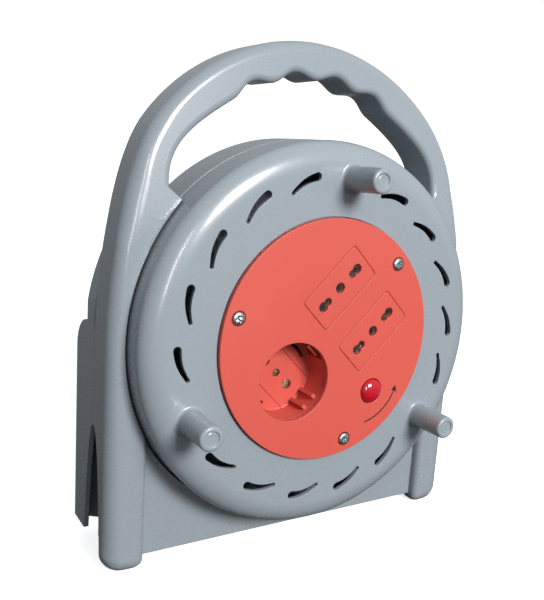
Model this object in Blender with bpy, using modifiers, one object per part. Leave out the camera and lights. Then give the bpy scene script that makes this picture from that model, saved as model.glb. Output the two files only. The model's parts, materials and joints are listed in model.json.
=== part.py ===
"""Extension cord reel: two grey shells with a carrying handle, and a cranked drum with the sockets.

Metres, +Z up. The socket side faces -Y and the origin is at the middle of the footprint, on the
ground. Everything is modelled in a face frame that two empties carry: x to the right, y up and
depth behind the front of the socket plate, with its origin where the drum's axis meets the plate.
"""
import math

import bmesh
import bpy
from mathutils import Matrix, Vector

MM = 0.001
GAP = 0.3 * MM  # between pieces that rest on each other

# Driving dimensions: depths behind the socket plate, heights from the drum's axis
PEG_TIP = -20.3 * MM
BASE_REAR = 67.9 * MM
AXIS_HEIGHT = 112.5 * MM  # of the drum's axis above the ground
HALF_WIDTH = 105.7 * MM
PILLAR_INNER = 85.8 * MM  # where the pillars meet the panel
PILLAR_FRONT = 20.0 * MM
PANEL_FRONT = 25.2 * MM
PARTING = 41.5 * MM  # rear edge of the front shell
BARREL_REAR = 52.0 * MM
WALL = 2.4 * MM
PANEL_BOTTOM = -107.2 * MM
BASE_BOTTOM = -101.4 * MM
BASE_TOP = 5.8 * MM
TOE_BACK = 29.5 * MM  # rear of the front feet

ARCH_CENTRE = (0, 39.8 * MM)
ARCH_RADIUS = 104.4 * MM
ARCH_SPRING = math.radians(37)  # the arch is round from here up
OUTER_ROUND = 8.0 * MM
INNER_ROUND = 3.3 * MM
GRIP_RADIUS = 87.6 * MM
GRIP_SWING = 1.8 * MM  # crests and grooves of the finger grip, to either side of that
GRIP_PITCH = math.radians(16)
OPENING_CORNER = (78.1 * MM, 71.0 * MM)  # lower corner of the handle opening
LIP_ANGLE = math.radians(42.8)  # where the drum opening meets the handle opening

BARREL_RADIUS = 97.4 * MM
BARREL_BORE = 95.2 * MM
RECESS_RADIUS = 98.2 * MM
RECESS_DEPTH = 28.2 * MM
SHOULDER_RADIUS = 106.8 * MM  # rear shell beside the handle opening
NOTCH_CENTRE = 40.4 * MM
NOTCH_HALF = 11.8 * MM
NOTCH_TOP = -43.0 * MM
SHELL_SCREWS = [(92.5 * MM, 43.1 * MM), (88.0 * MM, -86.0 * MM)]  # and mirrored

FLANGE_RADIUS = 97.2 * MM
FLANGE_FACE = 2.2 * MM
FLANGE_BACK = 27.2 * MM
FLANGE_ROUND = (12.5 * MM, 8.5 * MM)  # across and deep
FLANGE_BORE = 49.5 * MM
LEDGE_RADIUS = 61.3 * MM  # recess that the socket plate lies in
LEDGE_DEPTH = 3.4 * MM
PLATE_RADIUS = 60.8 * MM
PLATE_BACK = 3.1 * MM
HUB_RADIUS = 62.5 * MM
SPOOL_FRONT = 6.1 * MM
SPOOL_RADIUS = 93.5 * MM
SPOOL_DISC = 45.2 * MM
SPOOL_BACK = 47.6 * MM
PEG_CIRCLE = 80.0 * MM
PEG_ANGLES = [math.radians(84.2 + 120 * k) for k in range(3)]
VENT_STEP = math.radians(20)
VENT_HEAD = (80.8 * MM, math.radians(-5.0), 2.05 * MM)  # radius, angle from its step, half width
VENT_TAIL = (76.3 * MM, math.radians(5.6), 1.1 * MM)
SCREW_CIRCLE = 54.2 * MM
PLATE_SCREW_ANGLES = [math.radians(a) for a in (164.3, 44.3, 284.3)]
FLANGE_SCREW_ANGLES = [a + math.radians(60) for a in PLATE_SCREW_ANGLES]

WELL_CENTRE = (-19.6 * MM, -18.9 * MM)
WELL_RADIUS = 19.7 * MM
WELL_OUTER = 21.6 * MM
WELL_FLOOR = 17.2 * MM
WELL_BACK = 19.4 * MM
WELL_PIN = 9.5 * MM
INSERT_CENTRES = {"upper": (3.6 * MM, 26.7 * MM), "lower": (26.3 * MM, 3.6 * MM)}
INSERT_SIZE = (38.9 * MM, 20.2 * MM)
INSERT_BACK = 20.0 * MM
NARROW_PIN = (9.5 * MM, 2.1 * MM)  # distance from the earth hole and radius
WIDE_PIN = (13.0 * MM, 2.6 * MM)
EARTH_HOLE = 2.65 * MM
SLEEVE_BACK = 23.7 * MM
EARTH_SLEEVE_BACK = 26.5 * MM
RISING = math.radians(45)  # direction of the inserts' rows of holes
FALLING = math.radians(-45)  # direction of the round socket's row

BUTTON_CENTRE = (28.5 * MM, -28.5 * MM)
BUTTON_HOLE = 6.75 * MM
BREAKER_SIDE = 15.0 * MM
AXLE_RADIUS = 6.0 * MM
CABLE_ANGLE = math.radians(250)
CABLE_DEPTH = 36.0 * MM


for old in list(bpy.data.objects):
    bpy.data.objects.remove(old)


def new_collection(name):
    made = bpy.data.collections.new(name)
    bpy.context.scene.collection.children.link(made)
    return made


REEL = new_collection("extension_cord_reel")
CUTTERS = new_collection("cutters")


def make_material(name, colour, roughness, metallic=0.0):
    made = bpy.data.materials.new(name)
    made.use_nodes = True
    shader = made.node_tree.nodes["Principled BSDF"]
    shader.inputs["Base Color"].default_value = (*colour, 1)
    shader.inputs["Roughness"].default_value = roughness
    shader.inputs["Metallic"].default_value = metallic
    return made


GREY = make_material("grey_plastic", (0.36, 0.41, 0.45), 0.35)
RED = make_material("red_plastic", (0.80, 0.14, 0.11), 0.4)
BUTTON_RED = make_material("button_red", (0.55, 0.01, 0.03), 0.15)
BLACK = make_material("black_plastic", (0.02, 0.02, 0.02), 0.5)
IVORY = make_material("insulator", (0.75, 0.72, 0.62), 0.5)
RUBBER = make_material("black_rubber", (0.02, 0.02, 0.02), 0.8)
BRASS = make_material("brass", (0.75, 0.55, 0.25), 0.3, 1.0)
STEEL = make_material("zinc_steel", (0.65, 0.66, 0.67), 0.25, 1.0)


def make_empty(name):
    """A parent in the face frame: its Z points out of the socket side, its Y up."""
    made = bpy.data.objects.new(name, None)
    made.location = (0, -(PEG_TIP + BASE_REAR) / 2, AXIS_HEIGHT)
    made.rotation_euler = (math.pi / 2, 0, 0)
    REEL.objects.link(made)
    return made


FRAME = make_empty("frame_axis")
DRUM = make_empty("drum_axis")
BUTTON = bpy.data.objects.new("button_axis", None)
BUTTON.parent = DRUM
BUTTON.location = (*BUTTON_CENTRE, 0)
REEL.objects.link(BUTTON)


# Meshes in the face frame: x, y, and -depth as z


def clean(mesh):
    """Welds loose caps and turns every face outwards."""
    edit = bmesh.new()
    edit.from_mesh(mesh)
    bmesh.ops.remove_doubles(edit, verts=edit.verts, dist=1e-6)
    bmesh.ops.recalc_face_normals(edit, faces=edit.faces)
    edit.to_mesh(mesh)
    edit.free()
    return mesh


def evaluated_mesh(holder):
    """The finished mesh of an object, which is removed."""
    bpy.context.view_layer.update()
    graph = bpy.context.evaluated_depsgraph_get()
    mesh = bpy.data.meshes.new_from_object(holder.evaluated_get(graph))
    bpy.data.objects.remove(holder)
    return clean(mesh)


def mesh_of(points, faces):
    mesh = bpy.data.meshes.new("mesh")
    mesh.from_pydata(points, [], faces)
    return clean(mesh)


def prism(loops, front, back):
    """Flat outlines, holes included, extruded from one depth to another."""
    curve = bpy.data.curves.new("outline", "CURVE")
    curve.dimensions = "2D"
    curve.fill_mode = "BOTH"
    curve.extrude = (back - front) / 2
    for loop in loops:
        spline = curve.splines.new("POLY")
        spline.points.add(len(loop) - 1)
        for point, place in zip(spline.points, loop):
            point.co = (*place, 0, 1)
        spline.use_cyclic_u = True
    holder = bpy.data.objects.new("outline", curve)
    CUTTERS.objects.link(holder)
    mesh = evaluated_mesh(holder)
    mesh.transform(Matrix.Translation((0, 0, -(front + back) / 2)))
    return mesh


def sideways(outline, left, right):
    """An outline of (depth, height) points, extruded across the reel from left to right."""
    mesh = prism([outline], 0, right - left)
    mesh.transform(Matrix(((0, 0, -1, left), (0, 1, 0, 0), (-1, 0, 0, 0), (0, 0, 0, 1))))
    return clean(mesh)


def turned(profile, steps=48, centre=(0, 0)):
    """A profile of (radius, depth) points, front to back on its outer side, turned about an axis.

    A profile that starts and ends on the axis makes a solid, any other is closed into a ring."""
    count = len(profile)
    links = [(i, i + 1) for i in range(count - 1)]
    if profile[0][0] > 0:
        links.append((count - 1, 0))
    mesh = bpy.data.meshes.new("profile")
    mesh.from_pydata([(radius, 0, -depth) for radius, depth in profile], links, [])
    holder = bpy.data.objects.new("profile", mesh)
    CUTTERS.objects.link(holder)
    screw = holder.modifiers.new("turn", "SCREW")
    screw.axis = "Z"
    screw.angle = 2 * math.pi
    screw.steps = steps
    screw.render_steps = steps
    screw.use_merge_vertices = True
    screw.merge_threshold = 1e-5
    made = evaluated_mesh(holder)
    made.transform(Matrix.Translation((*centre, 0)))
    return made


def rod(centre, radius, front, back, steps=16):
    """A cylinder along the depth axis."""
    return turned([(0, front), (radius, front), (radius, back), (0, back)], steps, centre)


def block(centre, size, turn=0.0, axis="Z"):
    """A block about (x, y, depth), turned about its middle; size is across, up and deep."""
    mesh = bpy.data.meshes.new("block")
    edit = bmesh.new()
    bmesh.ops.create_cube(edit, size=1)
    bmesh.ops.scale(edit, vec=size, verts=edit.verts)
    bmesh.ops.rotate(edit, matrix=Matrix.Rotation(turn, 3, axis), verts=edit.verts)
    bmesh.ops.translate(edit, vec=(centre[0], centre[1], -centre[2]), verts=edit.verts)
    edit.to_mesh(mesh)
    edit.free()
    return mesh


def add_piece(name, mesh, material, parent=DRUM):
    mesh.name = name
    mesh.materials.clear()
    mesh.materials.append(material)
    mesh.shade_smooth()
    mesh.set_sharp_from_angle(angle=math.radians(35))
    made = bpy.data.objects.new(name, mesh)
    made.parent = parent
    REEL.objects.link(made)
    return made


def add_tool(name, mesh, parent):
    """A hidden helper that Booleans take away or join on."""
    made = bpy.data.objects.new(name, mesh)
    made.parent = parent
    made.hide_render = True
    made.display_type = "WIRE"
    CUTTERS.objects.link(made)
    return made


def boolean(obj, tool, operation):
    if isinstance(tool, bpy.types.Mesh):
        tool = add_tool(f"{obj.name}_{operation.lower()}", tool, obj.parent)
    modifier = obj.modifiers.new(operation.lower(), "BOOLEAN")
    modifier.operation = operation
    modifier.solver = "EXACT"
    modifier.object = tool


def join(obj, tool):
    boolean(obj, tool, "UNION")


def cut(obj, tool):
    boolean(obj, tool, "DIFFERENCE")


# Outlines


def polar(radius, angle, centre=(0, 0)):
    return (centre[0] + radius * math.cos(angle), centre[1] + radius * math.sin(angle))


def arc(centre, radius, start, end, steps):
    """Points on a circle from one angle to another, both ends included."""
    return [polar(radius, start + (end - start) * i / steps, centre) for i in range(steps + 1)]


def circle(centre, radius, steps=24):
    return arc(centre, radius, 0, 2 * math.pi * (1 - 1 / steps), steps - 1)


def bezier(points, steps):
    """Points on a cubic curve, both ends included."""
    a, b, c, d = (Vector(p) for p in points)
    shares = [i / steps for i in range(steps + 1)]
    return [
        tuple(a * (1 - t) ** 3 + b * 3 * t * (1 - t) ** 2 + c * 3 * t * t * (1 - t) + d * t**3)
        for t in shares
    ]


def mirrored(points):
    """The same points on the other side of the middle, in the order that goes on round."""
    return [(-x, y) for x, y in reversed(points)]


def rounded_rectangle(centre, size, radius, angle=0.0, corner_steps=3):
    points = []
    for quarter, (sx, sy) in enumerate([(1, 1), (-1, 1), (-1, -1), (1, -1)]):
        middle = (sx * (size[0] / 2 - radius), sy * (size[1] / 2 - radius))
        start = quarter * math.pi / 2
        points += arc(middle, radius, start, start + math.pi / 2, corner_steps)
    return [tuple(Vector(centre) + Matrix.Rotation(angle, 2) @ Vector(p)) for p in points]


def strip(points, half_width):
    """The outline of a band along an open line of points."""
    left, right = [], []
    for i, point in enumerate(points):
        before = (Vector(point) - Vector(points[max(i - 1, 0)])).normalized()
        after = (Vector(points[min(i + 1, len(points) - 1)]) - Vector(point)).normalized()
        along = (before + after).normalized()
        sharpness = max(before.dot(along), after.dot(along))
        side = Vector((-along.y, along.x)) * half_width / sharpness
        left.append(tuple(Vector(point) + side))
        right.append(tuple(Vector(point) - side))
    return right + left[::-1]


def along(centre, distance, angle):
    return polar(distance, angle, centre)


# Frame


def outer_edge(angle):
    """The frame's outer edge on a ray from the middle of the arch."""
    if angle >= ARCH_SPRING:
        return polar(ARCH_RADIUS, angle, ARCH_CENTRE)
    low = (HALF_WIDTH, -5 * MM)
    spring = polar(ARCH_RADIUS, ARCH_SPRING, ARCH_CENTRE)
    curve = bezier([low, (HALF_WIDTH, 40 * MM), (97.2 * MM, 84.2 * MM), spring], 24)
    rays = [math.atan2(y - ARCH_CENTRE[1], x) for x, y in curve]
    if angle <= rays[0]:
        return (HALF_WIDTH, ARCH_CENTRE[1] + HALF_WIDTH * math.tan(angle))
    index = max(i for i, ray in enumerate(rays) if ray <= angle)
    share = (angle - rays[index]) / (rays[index + 1] - rays[index])
    return tuple(Vector(curve[index]).lerp(Vector(curve[index + 1]), share))


def grip_line(steps_per_groove=6):
    """The handle's inner edge between the outer crests of the finger grip, right to left."""
    steps = 4 * steps_per_groove
    points = []
    for i in range(steps + 1):
        turn = (2 - 4 * i / steps) * GRIP_PITCH
        swing = GRIP_SWING * math.cos(2 * math.pi * turn / GRIP_PITCH)
        points.append(polar(GRIP_RADIUS - swing, math.pi / 2 - turn, ARCH_CENTRE))
    return points


def opening_side(steps=8):
    """The right-hand inner edge of the handle, from the opening's lower corner to the grip."""
    crest = math.pi / 2 - 2 * GRIP_PITCH
    end = Vector(polar(GRIP_RADIUS - GRIP_SWING, crest, ARCH_CENTRE))
    lead = end + Vector((math.sin(crest), -math.cos(crest))) * 25 * MM
    return bezier([OPENING_CORNER, (79.4 * MM, 90 * MM), lead, end], steps)


def web_edge():
    """The pillar's inner edge where it spreads into the web, inside the round recess that trims it."""
    return [(83.6 * MM, 48.5 * MM), (79.8 * MM, 54.5 * MM), (74.8 * MM, 60.5 * MM), polar(94.5 * MM, LIP_ANGLE)]


def lean(height):
    """How far the frame leans back at a height above the drum's axis."""
    if height < 60 * MM:
        return max(0, height - 46 * MM) ** 2 / (280 * MM)
    return 0.1 * (height - 53 * MM)


def band_stations():
    """Pairs of outer and inner edge points, from the right foot over the handle to the left."""
    pairs = []
    outer_middle = (HALF_WIDTH - 9 * MM, -AXIS_HEIGHT + 9 * MM)
    inner_middle = (PILLAR_INNER + 5 * MM, -AXIS_HEIGHT + 5 * MM)
    for i in range(5):
        turn = math.pi / 2 * i / 4
        outer = polar(9 * MM, turn - math.pi / 2, outer_middle)
        inner = polar(5 * MM, -turn - math.pi / 2, inner_middle)
        pairs.append((outer, inner))
    flank = [(PILLAR_INNER, y * MM) for y in (-5, 20, 44)]
    half_grip = grip_line()[:13]
    for inner in flank + web_edge() + opening_side() + half_grip[1:]:
        ray = math.atan2(inner[1] - ARCH_CENTRE[1], inner[0])
        pairs.append((outer_edge(ray), inner))
    left = [((-o[0], o[1]), (-i[0], i[1])) for o, i in reversed(pairs[:-1])]
    return pairs + left


def foot_setback(height):
    """How far the front draws back towards the soles of the feet."""
    above = min(1, max(0, (height + AXIS_HEIGHT) / (9 * MM)))
    return 5 * MM * (1 - math.sqrt(1 - (1 - above) ** 2))


def between(pairs):
    """Stations halfway between the given ones."""
    steps = zip(pairs[:-1], pairs[1:])
    return [tuple(tuple(Vector(a).lerp(Vector(b), 0.5)) for a, b in zip(one, two)) for one, two in steps]


def band(pairs, inset, back):
    """Pillars and handle in one sweep with rounded front edges, drawn in by inset all round."""
    rings = []
    for outer, inner in pairs:
        start = Vector(outer)
        across = Vector(inner) - start
        width = across.length - 2 * inset
        across.normalize()
        start += across * inset
        front = PILLAR_FRONT + inset + foot_setback(outer[1])
        big = min(OUTER_ROUND - inset, 0.42 * width)
        small = min(max(INNER_ROUND - inset, 0.9 * MM), 0.3 * width)
        section = [(0, back)]
        for x, y in arc((big, 0), big, math.pi, math.pi / 2, 4):
            section.append((x, front + big - y))
        for x, y in arc((width - small, 0), small, math.pi / 2, 0, 2):
            section.append((x, front + small - y))
        section.append((width, back))
        ring = [(start + across * s, depth) for s, depth in section]
        rings.append([(*place, -depth - lean(place.y)) for place, depth in ring])
    size = len(rings[0])
    faces = [list(range(size)), [len(rings) * size - 1 - i for i in range(size)]]
    for i in range(len(rings) - 1):
        for j in range(size - 1):
            a = i * size + j
            faces += [(a, a + 1, a + 1 + size), (a, a + 1 + size, a + size)]
        a, b = i * size, i * size + size - 1
        faces += [(a, a + size, b + size), (a, b + size, b)]
    return mesh_of([p for ring in rings for p in ring], faces)


def notch(side):
    """A tall slot in the flank, pointed at the top and open at the bottom."""
    steps = 8
    points = []
    for i in range(steps + 1):
        share = -1 + 2 * i / steps
        drop = (NOTCH_TOP - BASE_BOTTOM) * abs(share) ** 2.4
        points.append((NOTCH_CENTRE + NOTCH_HALF * share, NOTCH_TOP - drop))
    low = -AXIS_HEIGHT - 5 * MM
    outline = [(NOTCH_CENTRE - NOTCH_HALF, low)] + points + [(NOTCH_CENTRE + NOTCH_HALF, low)]
    edges = sorted((side * (HALF_WIDTH - WALL - 1.5 * MM), side * (HALF_WIDTH + 3 * MM)))
    return sideways(outline, *edges)


def make_front_shell():
    shell = add_piece("front_shell", band(band_stations(), 0, PARTING), GREY, FRAME)
    lip = Vector(polar(BARREL_RADIUS, LIP_ANGLE))
    right = [
        (100 * MM, PANEL_BOTTOM),
        (100 * MM, 45 * MM),
        (94 * MM, 62 * MM),
        polar(104 * MM, LIP_ANGLE - math.radians(2)),
        tuple(lip),
    ]
    rim = arc((0, 0), BARREL_RADIUS, LIP_ANGLE, math.pi - LIP_ANGLE, 16)[1:-1]
    join(shell, prism([right + rim + mirrored(right)], PANEL_FRONT, PARTING))

    # Hollow from behind, leaving the wall round the drum opening
    reach = math.acos(PILLAR_INNER / BARREL_RADIUS)
    behind_panel = [(PILLAR_INNER, PANEL_BOTTOM + WALL)]
    behind_panel += arc((0, 0), BARREL_RADIUS, -reach, -math.pi + reach, 24)
    behind_panel += [(-PILLAR_INNER, PANEL_BOTTOM + WALL)]
    cut(shell, prism([behind_panel], PANEL_FRONT + WALL, PARTING + 5 * MM))
    inside = between(band_stations()[5:-5])
    channel = add_tool("handle_channel", band(inside, WALL, PARTING + 5 * MM), FRAME)
    cut(channel, rod((0, 0), RECESS_RADIUS + WALL, 10 * MM, 60 * MM, 64))
    cut(shell, channel)

    cut(shell, rod((0, 0), RECESS_RADIUS, 10 * MM, RECESS_DEPTH, 64))
    cut(shell, rod((0, 0), BARREL_BORE, 15 * MM, PARTING + 5 * MM, 64))
    for side in (-1, 1):
        cut(shell, notch(side))
        toe = (side * 97 * MM, -111.4 * MM, TOE_BACK + 15 * MM)
        cut(shell, block(toe, (26 * MM, 20 * MM, 30 * MM)))
        for x, y in SHELL_SCREWS:
            place = (side * x, y)
            join(shell, rod(place, 3.6 * MM, 26.5 * MM, PARTING - GAP, 12))
            cut(shell, rod(place, 1.65 * MM, 28 * MM, PARTING + 5 * MM, 8))


def base_section(inset, front):
    """The base from the side, (depth, height), with its rounded shoulder drawn in by inset."""
    radius = BASE_REAR - BARREL_REAR - inset
    middle = (BARREL_REAR, BASE_TOP - BASE_REAR + BARREL_REAR)
    bottom = BASE_BOTTOM - (20 * MM if inset else 0)
    shoulder = arc(middle, radius, 0, math.pi / 2, 6)
    return [(front, bottom), (BASE_REAR - inset, bottom)] + shoulder + [(front, BASE_TOP - inset)]


def lean_gap(side):
    """Room in the rear shell's shoulder for the front shell's edge where that leans back."""
    heights = [46 * MM, 50 * MM, 55 * MM, 60 * MM, 80 * MM]
    outline = [(PARTING + GAP + lean(y), y) for y in heights] + [(38 * MM, 80 * MM), (38 * MM, 46 * MM)]
    return sideways(outline, *sorted((side * 69.5 * MM, side * 112 * MM)))


def make_rear_shell():
    front = PARTING + GAP
    shell = add_piece(
        "rear_shell", sideways(base_section(0, front), -HALF_WIDTH, HALF_WIDTH), GREY, FRAME
    )
    flat = math.acos(HALF_WIDTH / SHOULDER_RADIUS)
    right = [(HALF_WIDTH, -30 * MM)] + arc((0, 0), SHOULDER_RADIUS, flat, LIP_ANGLE, 6)
    rim = arc((0, 0), BARREL_RADIUS, LIP_ANGLE, math.pi - LIP_ANGLE, 20)
    join(shell, prism([right + rim + mirrored(right)], front, BARREL_REAR))

    hollow = sideways(base_section(WALL, 38 * MM), WALL - HALF_WIDTH, HALF_WIDTH - WALL)
    base_hollow = add_tool("base_hollow", hollow, FRAME)
    cut(base_hollow, rod((0, 0), BARREL_RADIUS, 30 * MM, BARREL_REAR, 64))
    cut(shell, base_hollow)
    cut(shell, rod((0, 0), BARREL_BORE, 30 * MM, BARREL_REAR - WALL, 64))
    for side in (-1, 1):
        start, end = math.radians(8), math.radians(40.5)
        slot = arc((0, 0), SHOULDER_RADIUS - 3.4 * MM, start, end, 6)
        slot += arc((0, 0), BARREL_RADIUS + WALL, end, start, 6)
        cut(shell, prism([[(side * x, y) for x, y in slot]], 38 * MM, BARREL_REAR - WALL))
        cut(shell, lean_gap(side))
        cut(shell, notch(side))
        wall_middle = (side * 95.2 * MM, -73.2 * MM, 60 * MM)
        wall_turn = side * math.atan2(15.8, 21)
        join(shell, block(wall_middle, (23.4 * MM, 56.2 * MM, 2.2 * MM), wall_turn, "Y"))
        for x, y in SHELL_SCREWS:
            place = (side * x, y)
            back = BARREL_REAR if y > 0 else BASE_REAR
            join(shell, rod(place, 4.6 * MM, front, back - 1 * MM, 16))
            cut(shell, rod(place, 3.6 * MM, 48.5 * MM, BASE_REAR + 5 * MM, 12))
            cut(shell, rod(place, 1.9 * MM, 35 * MM, 50 * MM, 12))
    # Heel under the rear wall, so that the reel stands level
    join(shell, block((0, -103 * MM, 64.4 * MM), (140 * MM, 19 * MM, 7 * MM)))
    cut(shell, rod((0, 0), 2.3 * MM, 45 * MM, 55 * MM, 12))


make_front_shell()
make_rear_shell()


def screw(name, centre, head_front, end, parent=DRUM, head=3.25 * MM, shank=1.35 * MM, turn=0.0):
    """A pan-head screw with a cross recess; with end in front of the head it points forwards."""
    profile = [
        (0, 0),
        (head * 0.62, 0.05 * MM),
        (head * 0.92, 0.5 * MM),
        (head, 1.1 * MM),
        (head, 1.8 * MM),
        (shank, 1.8 * MM),
        (shank, abs(end - head_front) - 1.2 * MM),
        (0, abs(end - head_front)),
    ]
    made = add_piece(name, turned(profile, 16), STEEL, parent)
    for quarter in (0, math.pi / 2):
        arm = (head * 1.1, 0.9 * MM, 2.2 * MM)
        cut(made, block((0, 0, 0), arm, turn + quarter))
    made.location = (*centre, -head_front)
    if end < head_front:
        made.rotation_euler = (math.pi, 0, 0)
    return made


# Axle, fixed to the rear shell

AXLE_FRONT = 33 * MM
add_piece(
    "axle",
    turned(
        [
            (0, 41 * MM),
            (2.0 * MM, 41 * MM),
            (2.0 * MM, AXLE_FRONT),
            (AXLE_RADIUS, AXLE_FRONT),
            (AXLE_RADIUS, SPOOL_BACK + GAP),
            (12 * MM, SPOOL_BACK + GAP),
            (12 * MM, BARREL_REAR - WALL - GAP),
            (2.3 * MM, BARREL_REAR - WALL - GAP),
            (2.3 * MM, 42.6 * MM),
            (0, 42.6 * MM),
        ],
        32,
    ),
    STEEL,
    FRAME,
)
screw("axle_bolt", (0, 0), 54.2 * MM, 43.2 * MM, FRAME, head=3.1 * MM, shank=1.9 * MM)
add_piece(
    "retaining_washer",
    turned([(2.3 * MM, 31.3 * MM), (9.5 * MM, 31.3 * MM), (9.5 * MM, 32.7 * MM), (2.3 * MM, 32.7 * MM)], 32),
    STEEL,
    FRAME,
)
screw("retaining_screw", (0, 0), 29.2 * MM, 40.2 * MM, FRAME, head=4.5 * MM, shank=1.65 * MM)
for i, (side, (x, y)) in enumerate((s, p) for p in SHELL_SCREWS for s in (-1, 1)):
    screw(f"shell_screw_{i + 1}", (side * x, y), 50.6 * MM, 30 * MM, FRAME)


# Drum


def vent(step):
    """A swoosh-shaped hole in the flange, from a broad round head to a narrow tail."""
    head_angle, tail_angle = step + VENT_HEAD[1], step + VENT_TAIL[1]
    steps = 4
    outer, inner = [], []
    for i in range(steps + 1):
        share = i / steps
        angle = head_angle + (tail_angle - head_angle) * share
        bow = 0.9 * MM * math.sin(math.pi * share)
        radius = VENT_HEAD[0] + (VENT_TAIL[0] - VENT_HEAD[0]) * share + bow
        half = VENT_HEAD[2] + (VENT_TAIL[2] - VENT_HEAD[2]) * share
        outer.append(polar(radius + half, angle))
        inner.append(polar(radius - half, angle))
    head = polar(VENT_HEAD[0], head_angle)
    tail = polar(VENT_TAIL[0], tail_angle)
    head_cap = arc(head, VENT_HEAD[2], head_angle + math.pi, head_angle + 2 * math.pi, 4)
    tail_cap = arc(tail, VENT_TAIL[2], tail_angle, tail_angle + math.pi, 2)
    return inner[1:-1][::-1] + head_cap + outer[1:-1] + tail_cap


def crank_peg(angle):
    profile = [
        (0, PEG_TIP + 0.5 * MM),
        (3.2 * MM, PEG_TIP + 0.5 * MM),
        (3.5 * MM, PEG_TIP),
        (5.2 * MM, PEG_TIP),
        (5.9 * MM, PEG_TIP + 0.7 * MM),
        (6.3 * MM, 0.8 * MM),
        (6.7 * MM, 1.8 * MM),
        (7.6 * MM, 2.5 * MM),
        (7.6 * MM, 3.6 * MM),
        (0, 3.6 * MM),
    ]
    return turned(profile, 20, polar(PEG_CIRCLE, angle))


def flange_bend(inset, steps):
    """The flange's rounded rim, from its face out to its side."""
    across, deep = FLANGE_ROUND
    middle = (FLANGE_RADIUS - across, FLANGE_FACE + deep)
    turns = [math.pi / 2 * i / steps for i in range(steps + 1)]
    return [
        (middle[0] + (across - inset) * math.sin(t), middle[1] - (deep - inset) * math.cos(t))
        for t in turns
    ]


def make_flange():
    outside = flange_bend(0, 6)
    inside = flange_bend(2.2 * MM, 4)[::-1]
    profile = [(FLANGE_BORE, LEDGE_DEPTH), (LEDGE_RADIUS, LEDGE_DEPTH), (LEDGE_RADIUS, FLANGE_FACE)]
    profile += outside + [(FLANGE_RADIUS, FLANGE_BACK), (FLANGE_RADIUS - 2.2 * MM, FLANGE_BACK)]
    profile += inside + [(63.6 * MM, 4.6 * MM), (63.6 * MM, 5.8 * MM), (FLANGE_BORE, 5.8 * MM)]
    flange = add_piece("drum_front_flange", turned(profile, 64), GREY)
    for angle in PEG_ANGLES:
        join(flange, crank_peg(angle))
    steps = [PEG_ANGLES[0] + VENT_STEP * k for k in range(18) if k % 6]
    cut(flange, prism([vent(step) for step in steps], -3 * MM, 12 * MM))
    holes = [circle(polar(SCREW_CIRCLE, a), 1.9 * MM, 10) for a in PLATE_SCREW_ANGLES + FLANGE_SCREW_ANGLES]
    cut(flange, prism(holes, 0, 10 * MM))


def make_spool():
    profile = [
        (HUB_RADIUS - 2.2 * MM, SPOOL_FRONT),
        (HUB_RADIUS, SPOOL_FRONT),
        (HUB_RADIUS, SPOOL_DISC),
        (SPOOL_RADIUS, SPOOL_DISC),
        (SPOOL_RADIUS, SPOOL_BACK),
        (AXLE_RADIUS + GAP, SPOOL_BACK),
        (AXLE_RADIUS + GAP, AXLE_FRONT + 0.7 * MM),
        (10.5 * MM, AXLE_FRONT + 0.7 * MM),
        (10.5 * MM, SPOOL_DISC),
        (HUB_RADIUS - 2.2 * MM, SPOOL_DISC),
    ]
    spool = add_piece("drum_spool", turned(profile, 64), GREY)
    places = [polar(SCREW_CIRCLE, a) for a in PLATE_SCREW_ANGLES + FLANGE_SCREW_ANGLES]
    for place in places:
        join(spool, rod(place, 3.6 * MM, SPOOL_FRONT, SPOOL_DISC + 1 * MM, 14))
    cut(spool, prism([circle(place, 1.65 * MM, 10) for place in places], 0, 24 * MM))
    cable = turned([(0, 0), (4.9 * MM, 0), (4.9 * MM, 12 * MM), (0, 12 * MM)], 16)
    cut(spool, radial(cable, 66 * MM))
    screws = [along(clamp_middle(), side * 9.5 * MM, CABLE_ANGLE + math.pi / 2) for side in (-1, 1)]
    cut(spool, prism([circle(place, 1.65 * MM, 10) for place in screws], 44 * MM, 50 * MM))


def clamp_middle():
    return polar(47 * MM, CABLE_ANGLE)


def radial(mesh, radius):
    """Stands a mesh made along the depth axis on the cable's radius, its front at that radius."""
    turn = Matrix.Rotation(CABLE_ANGLE, 4, "Z") @ Matrix.Translation((radius, 0, -CABLE_DEPTH))
    mesh.transform(turn @ Matrix.Rotation(math.pi / 2, 4, "Y"))
    return mesh


make_flange()
make_spool()
for i, angle in enumerate(FLANGE_SCREW_ANGLES):
    screw(f"flange_screw_{i + 1}", polar(SCREW_CIRCLE, angle), 1.5 * MM, 18 * MM)

GROMMET = [
    (4.6 * MM, 0),
    (6.2 * MM, 0),
    (6.2 * MM, 1.4 * MM),
    (4.6 * MM, 1.6 * MM),
    (4.6 * MM, 4.4 * MM),
    (6.2 * MM, 4.6 * MM),
    (6.2 * MM, 6.0 * MM),
    (3.4 * MM, 6.0 * MM),
    (3.4 * MM, 0),
]
add_piece("cord_grommet", radial(turned(GROMMET[1:], 20), 64.4 * MM), RUBBER)
clamp = add_piece(
    "cord_clamp",
    block((*clamp_middle(), 42.4 * MM), (25 * MM, 7 * MM, 5 * MM), CABLE_ANGLE + math.pi / 2),
    BLACK,
)
for i, side in enumerate((-1, 1)):
    place = along(clamp_middle(), side * 9.5 * MM, CABLE_ANGLE + math.pi / 2)
    cut(clamp, rod(place, 1.7 * MM, 30 * MM, 50 * MM, 12))
    screw(f"clamp_screw_{i + 1}", place, 37.8 * MM, 47.2 * MM, head=2.9 * MM)
add_piece("terminal_block", block((0, -26 * MM, 39.9 * MM), (24 * MM, 10 * MM, 10 * MM)), IVORY)


# Socket plate and what it carries


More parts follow.
